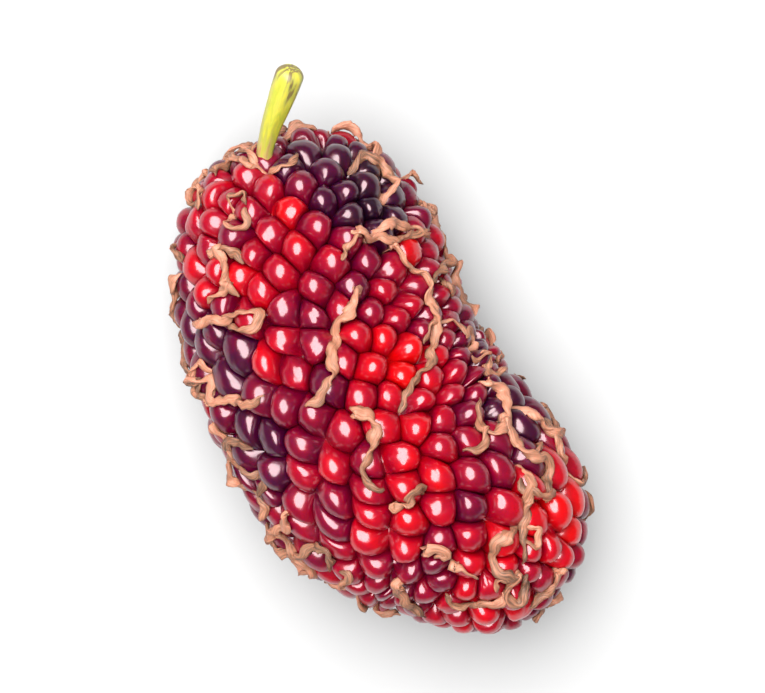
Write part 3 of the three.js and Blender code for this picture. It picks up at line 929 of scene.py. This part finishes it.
# On the sides and beneath, every fourth drupelet keeps a long style and some others a short one,
# and most of these have their second branch as well
LONG_STEPS, LONG_STEP = 4, 1.2 * MM
SHORT_STEPS, SHORT_STEP, SHORT_WIDTH = 3, 0.9 * MM, 0.8
BRANCH_STEPS, BRANCH_STEP, BRANCH_WIDTH = 3, 0.8 * MM, 0.75
STYLE_BEND = 1.2  # radians at each step
LONG_EVERY = 4
SHORT_LOST, BRANCH_KEPT = 0.6, 0.7
BRANCH_ANGLE, BRANCH_ANGLE_SPREAD = 2.2, 1.6
TOP_FROM = 0.55  # how far up the ball the traced styles take over
# Where each kind of random draw starts
DRAW_BEND, DRAW_HEADING, DRAW_SHORT, DRAW_BRANCH, DRAW_ANGLE = 500, 700, 800, 900, 950
TRACED_SEED, BRANCH_SEED = 6000, 1000
SHADE_ALONG = 0.6  # how much of its browning is along it, and the rest is chance

threads = []
for number, route in enumerate(TOP_STYLES):
    threads.append((traced_style(route), TRACED_SEED + number, STYLE_RADIUS))
for drupelet in range(DRUPELETS):
    if drupelet_middle(drupelet)[2] > TOP_FROM:
        continue
    heading = 2 * math.pi * draw(DRAW_HEADING + drupelet)
    bend = STYLE_BEND * (2 * draw(DRAW_BEND + drupelet) - 1)
    if drupelet % LONG_EVERY == 0:
        route = wandering_style(drupelet, heading, bend, LONG_STEPS, LONG_STEP)
        threads.append((route, drupelet, STYLE_RADIUS))
    elif draw(DRAW_SHORT + drupelet) >= SHORT_LOST:
        route = wandering_style(drupelet, heading, bend * 2, SHORT_STEPS, SHORT_STEP)
        threads.append((route, drupelet, SHORT_WIDTH * STYLE_RADIUS))
    else:
        continue
    if draw(DRAW_BRANCH + drupelet) < BRANCH_KEPT:
        heading += BRANCH_ANGLE + BRANCH_ANGLE_SPREAD * draw(DRAW_ANGLE + drupelet)
        route = wandering_style(drupelet, heading, -2 * bend, BRANCH_STEPS, BRANCH_STEP)
        threads.append((route, BRANCH_SEED + drupelet, BRANCH_WIDTH * STYLE_RADIUS))

style_points, style_faces, style_shares, style_fibres = [], [], [], []
for route, seed, radius in threads:
    points, faces, shares, fibres = dried_thread(route, seed, radius)
    style_faces += [tuple(i + len(style_points) for i in face) for face in faces]
    style_points += list(points)
    style_shares.append(shares * SHADE_ALONG + (1 - SHADE_ALONG) * draw(seed + 3))
    style_fibres.append(fibres)

# Dried papery style: dull and fibrous, tan where it is thick and browner towards its tip. A
# little light comes through it, tinted by the flesh beneath.
DRIED_STOPS = ((0.0, "#AC745E"), (0.4, "#98644C"), (0.75, "#78503A"), (1.0, "#523626"))
STYLE_GRAIN = 0.09 * MM  # across its fibres, coarser than the real ones so that they show

dried = new_material("dried_style")
style_along = add_node(dried, "ShaderNodeAttribute", attribute_name="along")
style_place = add_node(dried, "ShaderNodeAttribute", attribute_name="fibre")
papery = add_node(
    dried, "ShaderNodeTexNoise", [(style_place.outputs["Vector"], "Vector")],
    in_Scale=1 / STYLE_GRAIN, in_Detail=3.0,
)
patchy = add_node(
    dried, "ShaderNodeMapRange", [(papery.outputs["Fac"], "Value")],
    in_From_Min=0.3, in_From_Max=0.7, in_To_Min=-0.35, in_To_Max=0.35,
)
dried_shade = add_node(
    dried, "ShaderNodeMath", [(style_along.outputs["Fac"], 0), (patchy.outputs["Result"], 1)],
    operation="ADD",
)
dried_colour = add_node(dried, "ShaderNodeValToRGB", [(dried_shade.outputs[0], "Fac")], DRIED_STOPS)
dried_bump = add_node(
    dried, "ShaderNodeBump", [(papery.outputs["Fac"], "Height")],
    in_Strength=0.8, in_Distance=0.08 * MM,
)
dried_skin = add_node(
    dried, "ShaderNodeBsdfPrincipled",
    [(dried_colour.outputs["Color"], "Base Color"), (dried_bump.outputs["Normal"], "Normal")],
    in_Roughness=0.6, in_IOR=1.5, in_Subsurface_Weight=0.25, in_Subsurface_Scale=0.2 * MM,
)
add_node(dried, "ShaderNodeOutputMaterial", [(dried_skin.outputs[0], "Surface")])

style_piece = made_piece("styles", style_points, style_faces, dried)
store(style_piece, "along", np.concatenate(style_shares))
store(style_piece, "fibre", np.concatenate(style_fibres))
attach(style_piece, "root")
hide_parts("drupelets")


# The surface that it lies on: a pale matt card, laid flat and big enough that its edges don't
# show. It isn't a piece of the fruit.

TABLE_REACH = 2.0

table_mesh = bpy.data.meshes.new("tabletop")
corner_signs = ((-1, -1), (1, -1), (1, 1), (-1, 1))
table_corners = [(x * TABLE_REACH, y * TABLE_REACH, 0) for x, y in corner_signs]
table_mesh.from_pydata(table_corners, [], [(0, 1, 2, 3)])

# White card: uncoated paper, dull all over, with no highlight of its own
paper = new_material("white_card")
card = add_node(
    paper, "ShaderNodeBsdfPrincipled", in_Base_Color=linear("#959595"), in_Roughness=0.8,
)
add_node(paper, "ShaderNodeOutputMaterial", [(card.outputs[0], "Surface")])
table_mesh.materials.append(paper)
table = bpy.data.objects.new("tabletop", table_mesh)
bpy.context.scene.collection.objects.link(table)


# The light: one oval studio lamp high up in a dim white room. Its long way runs up the picture,
# so that each lobe carries its own small upright highlight.

LAMP_PLACE = Vector((-0.348, -0.14, 1.78))
LAMP_SIZE = (1.7, 2.7)
LAMP_POWER = 160.0
ROOM_STRENGTH = 0.14

lamp_data = bpy.data.lights.new("key", "AREA")
lamp_data.shape = "ELLIPSE"
lamp_data.size, lamp_data.size_y = LAMP_SIZE
lamp_data.energy = LAMP_POWER
lamp = bpy.data.objects.new("key", lamp_data)
bpy.context.scene.collection.objects.link(lamp)
lamp_back = (LAMP_PLACE - Vector((0, 0, middle_height))).normalized()
picture_up = Vector((-math.cos(FRUIT_LEAN), math.sin(FRUIT_LEAN), 0))
lamp_across = picture_up.cross(lamp_back).normalized()
lamp_axes = Matrix((lamp_across, lamp_back.cross(lamp_across), lamp_back)).transposed()
lamp.location = LAMP_PLACE
lamp.rotation_euler = lamp_axes.to_euler()

room = bpy.data.worlds.new("white_room")
bpy.context.scene.world = room
room.use_nodes = True
background = room.node_tree.nodes["Background"]
background.inputs["Color"].default_value = linear("#FFFFFF")
background.inputs["Strength"].default_value = ROOM_STRENGTH
bpy.context.scene.view_settings.view_transform = "Standard"
